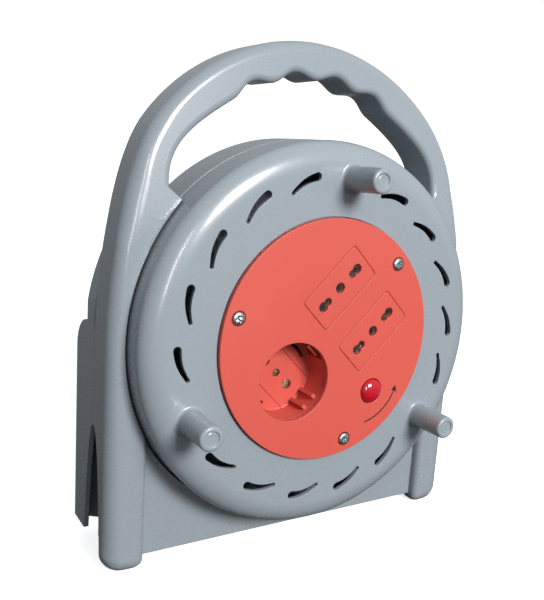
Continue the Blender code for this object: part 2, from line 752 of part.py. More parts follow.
def double_hole(centre, angle, side, grow=0.0):
    """Outline of a narrow and a wide pin hole that run into each other, on one side of the earth hole."""
    narrow, wide = NARROW_PIN[1] + grow, WIDE_PIN[1] + grow
    apart = WIDE_PIN[0] - NARROW_PIN[0]
    meet = (apart * apart + narrow * narrow - wide * wide) / (2 * apart)
    heading = angle if side > 0 else angle + math.pi
    open_wide = math.acos((apart - meet) / wide)
    open_narrow = math.acos(meet / narrow)
    big = arc(along(centre, WIDE_PIN[0], heading), wide, heading - math.pi + open_wide, heading + math.pi - open_wide, 12)
    small = arc(along(centre, NARROW_PIN[0], heading), narrow, heading + open_narrow, heading + 2 * math.pi - open_narrow, 9)
    return big + small[1:-1]


def make_plate():
    insert_room = (INSERT_SIZE[0] + 0.5 * MM, INSERT_SIZE[1] + 0.5 * MM)
    screws = [polar(SCREW_CIRCLE, a) for a in PLATE_SCREW_ANGLES]
    loops = [circle(WELL_CENTRE, WELL_RADIUS, 40), circle(BUTTON_CENTRE, BUTTON_HOLE, 24)]
    loops += [rounded_rectangle(c, insert_room, 1.7 * MM, RISING) for c in INSERT_CENTRES.values()]
    loops += [circle(place, 1.8 * MM, 12) for place in screws]
    plate = add_piece("socket_plate", prism([circle((0, 0), PLATE_RADIUS, 72)], 0, PLATE_BACK), RED)
    cut(plate, prism(loops, -3 * MM, 8 * MM))
    for place in screws:
        cut(plate, rod(place, 3.75 * MM, -2 * MM, 1 * MM, 16))
    pockets = [circle(polar(SCREW_CIRCLE, a), 3.7 * MM, 14) for a in FLANGE_SCREW_ANGLES]
    cut(plate, prism(pockets, 1.2 * MM, 5 * MM))
    for i, place in enumerate(screws):
        screw(f"plate_screw_{i + 1}", place, -1.1 * MM, 18 * MM, turn=0.5 + i)


def make_well():
    profile = [
        (0, WELL_FLOOR),
        (WELL_RADIUS, WELL_FLOOR),
        (WELL_RADIUS, LEDGE_DEPTH),
        (WELL_OUTER, LEDGE_DEPTH),
        (WELL_OUTER, WELL_BACK),
        (0, WELL_BACK),
    ]
    well = add_piece("schuko_well", turned(profile, 40, WELL_CENTRE), RED)
    for angle in (FALLING, FALLING + math.pi):
        for side in (-1, 1):
            foot = along(WELL_CENTRE, 18.6 * MM, angle)
            rib = along(foot, side * 3.6 * MM, angle + math.pi / 2)
            join(well, block((*rib, 11.3 * MM), (3.2 * MM, 2 * MM, 12.6 * MM), angle))
    for angle in (RISING, RISING + math.pi):
        window = along(WELL_CENTRE, 20 * MM, angle)
        cut(well, block((*window, 9.2 * MM), (8 * MM, 12.5 * MM, 14.4 * MM), angle))
        slot = arc(WELL_CENTRE, 17.6 * MM, angle - 0.36, angle + 0.36, 5)
        slot += arc(WELL_CENTRE, 15.8 * MM, angle + 0.36, angle - 0.36, 5)
        cut(well, prism([slot], WELL_FLOOR - 1 * MM, WELL_BACK + 1 * MM))
        seam = along(WELL_CENTRE, 10.4 * MM, angle)
        cut(well, block((*seam, WELL_FLOOR), (0.5 * MM, 32.6 * MM, 0.9 * MM), angle))
    pins = [along(WELL_CENTRE, d * WELL_PIN, FALLING) for d in (-1, 1)]
    holes = [circle(pin, 2.55 * MM, 16) for pin in pins] + [circle(WELL_CENTRE, 2.1 * MM, 16)]
    cut(well, prism(holes, 10 * MM, 25 * MM))


def contact(name, outer, inner, front, back):
    add_piece(name, prism([outer, inner], front, back), BRASS)


def make_insert(level):
    centre = INSERT_CENTRES[level]
    halves = [("line", 1), ("neutral", -1)]
    body = rounded_rectangle(centre, INSERT_SIZE, 1.5 * MM, RISING)
    holes = [circle(centre, EARTH_HOLE, 16)] + [double_hole(centre, RISING, s) for _, s in halves]
    insert = add_piece(f"italian_insert_{level}", prism([body] + holes, 0, INSERT_BACK), RED)
    room = [circle(centre, 3.7 * MM, 16)]
    room += [double_hole(centre, RISING, side, 1.1 * MM) for _, side in halves]
    cut(insert, prism(room, 2.2 * MM, INSERT_BACK + 5 * MM))
    for pole, side in halves:
        shell = double_hole(centre, RISING, side, 0.7 * MM)
        bore = double_hole(centre, RISING, side, 0.15 * MM)
        contact(f"contact_{level}_{pole}", shell, bore, 2.6 * MM, SLEEVE_BACK)
    ring = circle(centre, 3.3 * MM, 16)
    contact(f"contact_{level}_earth", ring, circle(centre, 2.8 * MM, 16), 2.6 * MM, EARTH_SLEEVE_BACK)


def make_well_contacts():
    for name, distance, radius, back in (
        ("line", -WELL_PIN, 2.7 * MM, SLEEVE_BACK),
        ("neutral", WELL_PIN, 2.7 * MM, SLEEVE_BACK),
        ("earth", 0, 2.3 * MM, EARTH_SLEEVE_BACK),
    ):
        place = along(WELL_CENTRE, distance, FALLING)
        ring = circle(place, radius + 0.6 * MM, 16)
        contact(f"contact_round_{name}", ring, circle(place, radius, 16), WELL_BACK + GAP, back)
    clip = [
        (22.7, 6.4),
        (22.7, 26.5),
        (21.9, 26.5),
        (21.9, 9.4),
        (18.6, 7.9),
        (18.3, 6.5),
        (19.1, 5.2),
        (19.6, 5.6),
        (19.1, 6.7),
        (19.4, 7.4),
    ]
    for name, angle in (("upper", RISING), ("lower", RISING + math.pi)):
        # The clip's outline stands in the plane through the well's axis.
        mesh = prism([[(r * MM, d * MM) for r, d in clip]], -4 * MM, 4 * MM)
        mesh.transform(Matrix(((1, 0, 0, 0), (0, 0, 1, 0), (0, -1, 0, 0), (0, 0, 0, 1))))
        mesh.transform(Matrix.Translation((*WELL_CENTRE, 0)) @ Matrix.Rotation(angle, 4, "Z"))
        add_piece(f"earth_clip_{name}", clean(mesh), BRASS)


def make_busbars():
    pole = (WIDE_PIN[0] + NARROW_PIN[0]) / 2
    ends = {
        (level, side): along(INSERT_CENTRES[level], side * pole, RISING)
        for level in INSERT_CENTRES
        for side in (-1, 1)
    }
    well_line = along(WELL_CENTRE, -WELL_PIN, FALLING)
    well_neutral = along(WELL_CENTRE, WELL_PIN, FALLING)
    detour = [(-7 * MM, 35 * MM), (-22 * MM, 16 * MM)]
    line = [ends["lower", 1], ends["upper", 1]] + detour + [well_line]
    neutral = [ends["upper", -1], ends["lower", -1], well_neutral]
    clip_ends = [along(WELL_CENTRE, d * MM, RISING) for d in (22.3, -21.6)]
    earth = [INSERT_CENTRES["upper"], INSERT_CENTRES["lower"]] + clip_ends
    front = SLEEVE_BACK + GAP
    add_piece("line_busbar", prism([strip(line, 2.4 * MM)], front, front + 0.8 * MM), BRASS)
    add_piece("neutral_busbar", prism([strip(neutral, 2.4 * MM)], front, front + 0.8 * MM), BRASS)
    front = EARTH_SLEEVE_BACK + GAP
    add_piece("earth_busbar", prism([strip(earth, 2.4 * MM)], front, front + 0.8 * MM), BRASS)


def make_reset():
    """Thermal cut-out with a sprung button: the button moves along its own axis."""
    x, y = BUTTON_CENTRE
    room = PLATE_BACK + 0.5 * MM
    size = (BREAKER_SIDE, BREAKER_SIDE, 23.8 * MM)
    breaker = add_piece("breaker_body", block((x, y, 15.5 * MM), size, RISING), BLACK)
    cut(breaker, rod((x, y), 6.9 * MM, 0, 9.4 * MM, 24))
    cut(breaker, rod((x, y), 2.9 * MM, 5 * MM, 17 * MM, 16))
    dome = [(6.4 * MM * math.sin(t), 0.4 * MM - 3.4 * MM * math.cos(t)) for t in (0.3, 0.6, 0.9, 1.2, 1.5708)]
    profile = [(0, -3.0 * MM)] + dome
    profile += [(6.4 * MM, room), (2.6 * MM, room), (2.6 * MM, 12.5 * MM), (0, 12.5 * MM)]
    add_piece("reset_button", turned(profile, 24), BUTTON_RED, BUTTON)

    front, back, turns, steps = room + 0.55 * MM, 8.9 * MM, 4, 12
    points, faces = [], []
    count = turns * steps
    for i in range(count + 1):
        angle = 2 * math.pi * i / steps
        depth = front + (back - front) * i / count
        for k in range(5):
            around = 2 * math.pi * k / 5
            across, rise = polar(0.32 * MM, around)
            points.append((*polar(4.2 * MM + across, angle, (x, y)), -depth + rise))
    for i in range(count):
        for k in range(5):
            a, b = i * 5 + k, i * 5 + (k + 1) % 5
            faces.append((a, b, b + 5, a + 5))
    faces += [list(range(5)), [count * 5 + 4 - k for k in range(5)]]
    add_piece("button_spring", mesh_of(points, faces), STEEL)


make_plate()
make_well()
make_insert("upper")
make_insert("lower")
make_well_contacts()
make_busbars()
make_reset()
COVER = [(10.5 * MM, 27.9 * MM), (45 * MM, 27.9 * MM), (45 * MM, 29.5 * MM), (10.5 * MM, 29.5 * MM)]
add_piece("insulating_cover", turned(COVER, 40), IVORY)
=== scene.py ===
"""Looks of the extension cord reel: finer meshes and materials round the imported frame, and the shot.

Pieces are made in a face frame: x to the right, y up and depth behind the front of the socket
plate, with its origin where the drum's axis meets the plate. TO_ROW takes them to the row frame.
"""
import json
import math

import bmesh
import bpy
from mathutils import Matrix, Vector

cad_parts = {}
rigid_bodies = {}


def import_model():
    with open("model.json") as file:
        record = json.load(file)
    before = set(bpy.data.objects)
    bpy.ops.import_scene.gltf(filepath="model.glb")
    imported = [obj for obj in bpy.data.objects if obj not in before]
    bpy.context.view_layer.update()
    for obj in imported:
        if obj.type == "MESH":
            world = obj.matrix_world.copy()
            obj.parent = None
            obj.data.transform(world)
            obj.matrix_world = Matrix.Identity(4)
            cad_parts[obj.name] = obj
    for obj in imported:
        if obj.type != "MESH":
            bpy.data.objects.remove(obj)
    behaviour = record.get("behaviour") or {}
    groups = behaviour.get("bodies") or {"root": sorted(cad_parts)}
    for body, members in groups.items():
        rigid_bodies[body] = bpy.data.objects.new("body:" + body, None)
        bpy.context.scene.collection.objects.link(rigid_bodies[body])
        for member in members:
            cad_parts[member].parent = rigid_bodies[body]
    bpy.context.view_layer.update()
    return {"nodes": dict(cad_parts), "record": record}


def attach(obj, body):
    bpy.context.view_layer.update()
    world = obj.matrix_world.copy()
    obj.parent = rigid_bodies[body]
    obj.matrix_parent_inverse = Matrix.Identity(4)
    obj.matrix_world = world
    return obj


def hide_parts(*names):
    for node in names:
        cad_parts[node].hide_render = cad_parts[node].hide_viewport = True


for old in list(bpy.data.objects):
    bpy.data.objects.remove(old)

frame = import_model()

MM = 0.001
PEG_TIP = -20.3 * MM
BASE_REAR = 67.9 * MM
AXIS_HEIGHT = 112.5 * MM
HALF_WIDTH = 105.7 * MM
PILLAR_INNER = 85.8 * MM
PILLAR_FRONT = 20.0 * MM
PANEL_FRONT = 25.2 * MM
PARTING = 41.5 * MM
SEAM = 0.06 * MM
BARREL_REAR = 52.0 * MM
WALL = 2.4 * MM
PANEL_BOTTOM = -107.2 * MM
BASE_BOTTOM = -101.4 * MM
BASE_TOP = 5.8 * MM
TOE_BACK = 29.5 * MM
ARCH_CENTRE = (0, 39.8 * MM)
ARCH_RADIUS = 104.4 * MM
ARCH_SPRING = math.radians(37)
OUTER_ROUND = 8.0 * MM
INNER_ROUND = 3.3 * MM
GRIP_RADIUS = 87.6 * MM
GRIP_SWING = 1.8 * MM
GRIP_PITCH = math.radians(16)
OPENING_CORNER = (78.1 * MM, 71.0 * MM)
LIP_ANGLE = math.radians(42.8)
BARREL_RADIUS = 97.4 * MM
BARREL_BORE = 95.2 * MM
RECESS_RADIUS = 98.2 * MM
RECESS_DEPTH = 28.2 * MM
SHOULDER_RADIUS = 106.8 * MM
NOTCH_CENTRE = 40.4 * MM
NOTCH_HALF = 11.8 * MM
NOTCH_TOP = -43.0 * MM
SHELL_SCREWS = [(92.5 * MM, 43.1 * MM), (88.0 * MM, -86.0 * MM)]
FLANGE_RADIUS = 97.2 * MM
FLANGE_FACE = 2.2 * MM
FLANGE_BACK = 27.2 * MM
FLANGE_ROUND = (12.5 * MM, 8.5 * MM)
FLANGE_BORE = 49.5 * MM
LEDGE_RADIUS = 61.3 * MM
LEDGE_DEPTH = 3.4 * MM
PLATE_RADIUS = 60.8 * MM
PLATE_BACK = 3.1 * MM
PEG_CIRCLE = 80.0 * MM
PEG_ANGLES = [math.radians(84.2 + 120 * k) for k in range(3)]
VENT_STEP = math.radians(20)
VENT_HEAD = (80.8 * MM, math.radians(-5.0), 2.05 * MM)
VENT_TAIL = (76.3 * MM, math.radians(5.6), 1.1 * MM)
SCREW_CIRCLE = 54.2 * MM
PLATE_SCREW_ANGLES = [math.radians(a) for a in (164.3, 44.3, 284.3)]
FLANGE_SCREW_ANGLES = [a + math.radians(60) for a in PLATE_SCREW_ANGLES]
WELL_CENTRE = (-19.6 * MM, -18.9 * MM)
WELL_RADIUS = 19.7 * MM
WELL_OUTER = 21.6 * MM
WELL_FLOOR = 17.2 * MM
WELL_BACK = 19.4 * MM
WELL_PIN = 9.5 * MM
INSERT_CENTRES = {"upper": (3.6 * MM, 26.7 * MM), "lower": (26.3 * MM, 3.6 * MM)}
INSERT_SIZE = (38.9 * MM, 20.2 * MM)
INSERT_BACK = 20.0 * MM
NARROW_PIN = (9.5 * MM, 2.1 * MM)
WIDE_PIN = (13.0 * MM, 2.6 * MM)
EARTH_HOLE = 2.65 * MM
RISING = math.radians(45)
FALLING = math.radians(-45)
BUTTON_CENTRE = (28.5 * MM, -28.5 * MM)
BUTTON_HOLE = 6.75 * MM

STAND = Matrix.Translation((0, -(PEG_TIP + BASE_REAR) / 2, AXIS_HEIGHT))
TO_ROW = STAND @ Matrix.Rotation(math.pi / 2, 4, "X")


# Materials


class Nodes:
    """A small helper that wires a procedural plastic or metal."""

    def __init__(self, name):
        self.material = bpy.data.materials.new(name)
        self.material.use_nodes = True
        self.tree = self.material.node_tree
        self.shader = self.tree.nodes["Principled BSDF"]
        self.place = self.tree.nodes.new("ShaderNodeTexCoord").outputs["Object"]

    def add(self, kind, **inputs):
        node = self.tree.nodes.new(kind)
        for key, value in inputs.items():
            node.inputs[key.replace("_", " ")].default_value = value
        return node

    def link(self, source, target):
        self.tree.links.new(source, target)

    def noise(self, scale, detail=3.0, rough=0.55):
        node = self.add("ShaderNodeTexNoise", Scale=scale, Detail=detail, Roughness=rough)
        self.link(self.place, node.inputs["Vector"])
        return node.outputs["Fac"]

    def spread(self, source, low, high, start=0.3, end=0.7):
        node = self.add("ShaderNodeMapRange")
        node.inputs["From Min"].default_value = start
        node.inputs["From Max"].default_value = end
        node.inputs["To Min"].default_value = low
        node.inputs["To Max"].default_value = high
        self.link(source, node.inputs["Value"])
        return node.outputs["Result"]

    def colours(self, source, first, second):
        ramp = self.tree.nodes.new("ShaderNodeValToRGB")
        ramp.color_ramp.elements[0].position = 0.12
        ramp.color_ramp.elements[1].position = 0.88
        ramp.color_ramp.elements[0].color = (*first, 1)
        ramp.color_ramp.elements[1].color = (*second, 1)
        self.link(source, ramp.inputs["Fac"])
        self.link(ramp.outputs["Color"], self.shader.inputs["Base Color"])

    def relief(self, source, strength, distance, under=None):
        bump = self.add("ShaderNodeBump", Strength=strength, Distance=distance)
        self.link(source, bump.inputs["Height"])
        if under is not None:
            self.link(under, bump.inputs["Normal"])
        return bump.outputs["Normal"]

    def soft_edges(self, radius):
        node = self.tree.nodes.new("ShaderNodeBevel")
        node.samples = 6
        node.inputs["Radius"].default_value = radius
        return node.outputs["Normal"]


def plastic(name, first, second, gloss=(0.3, 0.36), grain=0.06, edge=0.45 * MM, coat=0.0):
    """Moulded plastic: faint clouds of colour, fine spark-eroded grain, slightly uneven gloss."""
    made = Nodes(name)
    made.colours(made.noise(11.0, 3.0), first, second)
    uneven = made.spread(made.noise(1100.0, 2.0, 0.4), *gloss, 0.1, 0.9)
    made.link(uneven, made.shader.inputs["Roughness"])
    grainy = made.relief(made.noise(2600.0, 2.0), grain, 0.03 * MM, made.soft_edges(edge))
    made.link(grainy, made.shader.inputs["Normal"])
    made.shader.inputs["Coat Weight"].default_value = coat
    made.shader.inputs["Coat Roughness"].default_value = 0.12
    made.shader.inputs["IOR"].default_value = 1.5
    return made.material


def metal(name, first, second, gloss=(0.18, 0.36), grain=0.15):
    made = Nodes(name)
    made.colours(made.noise(260.0, 4.0), first, second)
    made.link(made.spread(made.noise(900.0, 3.0), *gloss), made.shader.inputs["Roughness"])
    rounded = made.soft_edges(0.15 * MM)
    made.link(made.relief(made.noise(1800.0, 3.0), grain, 0.02 * MM, rounded), made.shader.inputs["Normal"])
    made.shader.inputs["Metallic"].default_value = 1.0
    return made.material


GREY = plastic("grey_moulded", (0.245, 0.278, 0.306), (0.275, 0.311, 0.340), (0.24, 0.30), coat=0.25)
RED = plastic("red_moulded", (0.54, 0.078, 0.056), (0.60, 0.094, 0.068), (0.36, 0.46), 0.12, 0.25 * MM)
BUTTON_REDS = ((0.42, 0.004, 0.014), (0.48, 0.006, 0.020))
BUTTON_RED = plastic("button_glossy", *BUTTON_REDS, (0.10, 0.14), 0.02, 0.2 * MM, 0.6)
BLACK = plastic("black_moulded", (0.014, 0.014, 0.015), (0.022, 0.022, 0.023), (0.42, 0.6), 0.2, 0.3 * MM)
INK = plastic("black_print", (0.012, 0.012, 0.013), (0.02, 0.02, 0.02), (0.4, 0.5), 0.0, 0.02 * MM)
IVORY = plastic("insulating_board", (0.60, 0.56, 0.44), (0.70, 0.66, 0.54), (0.45, 0.6), 0.3, 0.3 * MM)
RUBBER = plastic("soft_rubber", (0.016, 0.016, 0.016), (0.03, 0.03, 0.03), (0.65, 0.85), 0.35, 0.4 * MM)
STEEL = metal("zinc_plate", (0.42, 0.43, 0.43), (0.58, 0.59, 0.60), (0.26, 0.40))
BRASS = metal("stamped_brass", (0.60, 0.43, 0.18), (0.76, 0.60, 0.32), (0.26, 0.45))
NICKEL = metal("plated_contact", (0.72, 0.70, 0.66), (0.88, 0.87, 0.84), (0.30, 0.48))

FINISH = {
    "grey_plastic": GREY,
    "red_plastic": RED,
    "button_red": BUTTON_RED,
    "black_plastic": BLACK,
    "insulator": IVORY,
    "black_rubber": RUBBER,
    "brass": BRASS,
    "zinc_steel": STEEL,
}
SLOT_OF = {part["node"]: part["material_slot"] for part in frame["record"]["subparts"]}
for node_name, node in frame["nodes"].items():
    for slot in node.material_slots:
        slot.material = NICKEL if node_name.startswith("contact_") else FINISH[SLOT_OF[node_name]]


# Meshes in the face frame


def clean(mesh):
    """Welds loose caps and turns every face outwards."""
    edit = bmesh.new()
    edit.from_mesh(mesh)
    bmesh.ops.remove_doubles(edit, verts=edit.verts, dist=1e-6)
    bmesh.ops.recalc_face_normals(edit, faces=edit.faces)
    edit.to_mesh(mesh)
    edit.free()
    return mesh


def evaluated_mesh(holder):
    bpy.context.view_layer.update()
    graph = bpy.context.evaluated_depsgraph_get()
    mesh = bpy.data.meshes.new_from_object(holder.evaluated_get(graph))
    bpy.data.objects.remove(holder)
    return mesh


def hold(data):
    holder = bpy.data.objects.new("holder", data)
    bpy.context.scene.collection.objects.link(holder)
    return holder


def mesh_of(points, faces):
    mesh = bpy.data.meshes.new("mesh")
    mesh.from_pydata(points, [], faces)
    return clean(mesh)


def prism(loops, front, back, rounding=0.0):
    """Flat outlines, holes included, extruded in depth; rounding softens both rims."""
    curve = bpy.data.curves.new("outline", "CURVE")
    curve.dimensions = "2D"
    curve.fill_mode = "BOTH"
    curve.extrude = (back - front) / 2 - rounding
    curve.bevel_depth = rounding
    curve.bevel_resolution = 2
    curve.offset = -rounding
    for loop in loops:
        spline = curve.splines.new("POLY")
        spline.points.add(len(loop) - 1)
        for point, place in zip(spline.points, loop):
            point.co = (*place, 0, 1)
        spline.use_cyclic_u = True
    mesh = clean(evaluated_mesh(hold(curve)))
    mesh.transform(Matrix.Translation((0, 0, -(front + back) / 2)))
    return mesh


def sideways(outline, left, right):
    """An outline of (depth, height) points, extruded across the reel from left to right."""
    mesh = prism([outline], 0, right - left)
    mesh.transform(Matrix(((0, 0, -1, left), (0, 1, 0, 0), (-1, 0, 0, 0), (0, 0, 0, 1))))
    return clean(mesh)


def turned(profile, steps=96, centre=(0, 0)):
    """A profile of (radius, depth) points turned about an axis, solid or ring."""
    links = [(i, i + 1) for i in range(len(profile) - 1)]
    if profile[0][0] > 0:
        links.append((len(profile) - 1, 0))
    mesh = bpy.data.meshes.new("profile")
    mesh.from_pydata([(radius, 0, -depth) for radius, depth in profile], links, [])
    holder = hold(mesh)
    screw = holder.modifiers.new("turn", "SCREW")
    screw.axis = "Z"
    screw.angle = 2 * math.pi
    screw.steps = steps
    screw.render_steps = steps
    screw.use_merge_vertices = True
    screw.merge_threshold = 1e-5
    made = clean(evaluated_mesh(holder))
    made.transform(Matrix.Translation((*centre, 0)))
    return made


def rod(centre, radius, front, back, steps=32):
    return turned([(0, front), (radius, front), (radius, back), (0, back)], steps, centre)


def block(centre, size, turn=0.0, axis="Z"):
    """A block about (x, y, depth), turned about its middle; size is across, up and deep."""
    mesh = bpy.data.meshes.new("block")
    edit = bmesh.new()
    bmesh.ops.create_cube(edit, size=1)
    bmesh.ops.scale(edit, vec=size, verts=edit.verts)
    bmesh.ops.rotate(edit, matrix=Matrix.Rotation(turn, 3, axis), verts=edit.verts)
    bmesh.ops.translate(edit, vec=(centre[0], centre[1], -centre[2]), verts=edit.verts)
    edit.to_mesh(mesh)
    edit.free()
    return mesh


def combined(mesh, steps):
    """Applies Booleans: steps are ("DIFFERENCE" or "UNION", mesh) pairs."""
    holder = hold(mesh)
    tools = []
    for operation, other in steps:
        tool = hold(other)
        tools.append(tool)
        modifier = holder.modifiers.new("step", "BOOLEAN")
        modifier.operation = operation
        modifier.solver = "EXACT"
        modifier.object = tool
    made = evaluated_mesh(holder)
    for tool in tools:
        bpy.data.objects.remove(tool)
    return made


def show(name, mesh, body, slot, *nodes, material=None, sharp=32):
    """Puts a finished mesh in the scene in place of its CAD nodes."""
    mesh.name = name
    mesh.materials.clear()
    mesh.materials.append(material or FINISH[slot])
    mesh.shade_smooth()
    mesh.set_sharp_from_angle(angle=math.radians(sharp))
    leaning = Vector((0, 0.1, 1)).normalized()
    for face in mesh.polygons:
        face.use_smooth = abs(face.normal.z) < 0.9998 and face.normal.dot(leaning) < 0.9998
    mesh.transform(TO_ROW)
    made = bpy.data.objects.new(name, mesh)
    bpy.context.scene.collection.objects.link(made)
    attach(made, body)
    if nodes:
        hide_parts(*nodes)
    return made


# Outlines


def polar(radius, angle, centre=(0, 0)):
    return (centre[0] + radius * math.cos(angle), centre[1] + radius * math.sin(angle))


def arc(centre, radius, start, end, steps):
    """Points on a circle from one angle to another, both ends included."""
    return [polar(radius, start + (end - start) * i / steps, centre) for i in range(steps + 1)]


def circle(centre, radius, steps=48):
    return arc(centre, radius, 0, 2 * math.pi * (1 - 1 / steps), steps - 1)


def bezier(points, steps):
    a, b, c, d = (Vector(p) for p in points)
    shares = [i / steps for i in range(steps + 1)]
    return [
        tuple(a * (1 - t) ** 3 + b * 3 * t * (1 - t) ** 2 + c * 3 * t * t * (1 - t) + d * t**3)
        for t in shares
    ]


def mirrored(points):
    return [(-x, y) for x, y in reversed(points)]


def rounded_rectangle(centre, size, radius, angle=0.0, corner_steps=6):
    points = []
    for quarter, (sx, sy) in enumerate([(1, 1), (-1, 1), (-1, -1), (1, -1)]):
        middle = (sx * (size[0] / 2 - radius), sy * (size[1] / 2 - radius))
        start = quarter * math.pi / 2
        points += arc(middle, radius, start, start + math.pi / 2, corner_steps)
    return [tuple(Vector(centre) + Matrix.Rotation(angle, 2) @ Vector(p)) for p in points]


# Frame shells


def outer_edge(angle):
    """The frame's outer edge on a ray from the middle of the arch."""
    if angle >= ARCH_SPRING:
        return polar(ARCH_RADIUS, angle, ARCH_CENTRE)
    low = (HALF_WIDTH, -5 * MM)
    spring = polar(ARCH_RADIUS, ARCH_SPRING, ARCH_CENTRE)
    curve = bezier([low, (HALF_WIDTH, 40 * MM), (97.2 * MM, 84.2 * MM), spring], 80)
    rays = [math.atan2(y - ARCH_CENTRE[1], x) for x, y in curve]
    if angle <= rays[0]:
        return (HALF_WIDTH, ARCH_CENTRE[1] + HALF_WIDTH * math.tan(angle))
    index = max(i for i, ray in enumerate(rays) if ray <= angle)
    share = (angle - rays[index]) / (rays[index + 1] - rays[index])
    return tuple(Vector(curve[index]).lerp(Vector(curve[index + 1]), share))


def half_grip(steps_per_groove=12):
    """The right half of the finger grip, from its outer crest to the top."""
    steps = 2 * steps_per_groove
    points = []
    for i in range(steps + 1):
        turn = 2 * GRIP_PITCH * (1 - i / steps)
        swing = GRIP_SWING * math.cos(2 * math.pi * turn / GRIP_PITCH)
        points.append(polar(GRIP_RADIUS - swing, math.pi / 2 - turn, ARCH_CENTRE))
    return points


def opening_side(steps=18):
    crest = math.pi / 2 - 2 * GRIP_PITCH
    end = Vector(polar(GRIP_RADIUS - GRIP_SWING, crest, ARCH_CENTRE))
    lead = end + Vector((math.sin(crest), -math.cos(crest))) * 25 * MM
    return bezier([OPENING_CORNER, (79.4 * MM, 90 * MM), lead, end], steps)


def web_edge():
    """The pillar's inner edge where it spreads into the web, inside the round recess that trims it."""
    bend = [(PILLAR_INNER, 44 * MM), (83.6 * MM, 49 * MM), (80 * MM, 55 * MM), (74.8 * MM, 60.5 * MM)]
    return bezier(bend, 8)[1:] + [polar(94.5 * MM, LIP_ANGLE)]


def lean(height):
    """How far the frame leans back at a height above the drum's axis."""
    if height < 60 * MM:
        return max(0, height - 46 * MM) ** 2 / (280 * MM)
    return 0.1 * (height - 53 * MM)


def band_stations():
    """Pairs of outer and inner edge points, from the right foot over the handle to the left."""
    pairs = []
    outer_middle = (HALF_WIDTH - 9 * MM, -AXIS_HEIGHT + 9 * MM)
    inner_middle = (PILLAR_INNER + 5 * MM, -AXIS_HEIGHT + 5 * MM)
    for i in range(13):
        turn = math.pi / 2 * i / 12
        outer = polar(9 * MM, turn - math.pi / 2, outer_middle)
        inner = polar(5 * MM, -turn - math.pi / 2, inner_middle)
        pairs.append((outer, inner))
    flank = [(PILLAR_INNER, y * MM) for y in (-5, 8, 20, 32, 44)]
    for inner in flank + web_edge() + opening_side() + half_grip()[1:]:
        ray = math.atan2(inner[1] - ARCH_CENTRE[1], inner[0])
        pairs.append((outer_edge(ray), inner))
    left = [((-o[0], o[1]), (-i[0], i[1])) for o, i in reversed(pairs[:-1])]
    return pairs + left


def foot_setback(height):
    above = min(1, max(0, (height + AXIS_HEIGHT) / (9 * MM)))
    return 5 * MM * (1 - math.sqrt(1 - (1 - above) ** 2))


def between(pairs):
    """Stations halfway between the given ones."""
    steps = zip(pairs[:-1], pairs[1:])
    return [tuple(tuple(Vector(a).lerp(Vector(b), 0.5)) for a, b in zip(one, two)) for one, two in steps]


def band(pairs, inset, back):
    """Pillars and handle in one sweep with rounded front edges, drawn in by inset all round."""
    rings = []
    for outer, inner in pairs:
        start = Vector(outer)
        across = Vector(inner) - start
        width = across.length - 2 * inset
        across.normalize()
        start += across * inset
        front = PILLAR_FRONT + inset + foot_setback(outer[1])
        slimmer = 2.5 * MM * min(1, max(0, (start.y - 85 * MM) / (25 * MM)))
        big = min(OUTER_ROUND - slimmer - inset, 0.42 * width)
        small = min(max(INNER_ROUND - inset, 0.9 * MM), 0.3 * width)
        section = [(0, back)]
        for x, y in arc((big, 0), big, math.pi, math.pi / 2, 10):
            section.append((x, front + big - y))
        for x, y in arc((width - small, 0), small, math.pi / 2, 0, 6):
            section.append((x, front + small - y))
        section.append((width, back))
        ring = [(start + across * s, depth) for s, depth in section]
        rings.append([(*place, -depth - lean(place.y)) for place, depth in ring])
    size = len(rings[0])
    faces = [list(range(size)), [len(rings) * size - 1 - i for i in range(size)]]
    for i in range(len(rings) - 1):
        for j in range(size - 1):
            a = i * size + j
            faces += [(a, a + 1, a + 1 + size), (a, a + 1 + size, a + size)]
        a, b = i * size, i * size + size - 1
        faces += [(a, a + size, b + size), (a, b + size, b)]
    return mesh_of([p for ring in rings for p in ring], faces)


def notch(side):
    """A tall slot in the flank, pointed at the top and open at the bottom."""
    steps = 28
    points = []
    for i in range(steps + 1):
        share = -1 + 2 * i / steps
        drop = (NOTCH_TOP - BASE_BOTTOM) * abs(share) ** 2.4
        points.append((NOTCH_CENTRE + NOTCH_HALF * share, NOTCH_TOP - drop))
    low = -AXIS_HEIGHT - 5 * MM
    outline = [(NOTCH_CENTRE - NOTCH_HALF, low)] + points + [(NOTCH_CENTRE + NOTCH_HALF, low)]
    edges = sorted((side * (HALF_WIDTH - WALL - 1.5 * MM), side * (HALF_WIDTH + 3 * MM)))
    return sideways(outline, *edges)


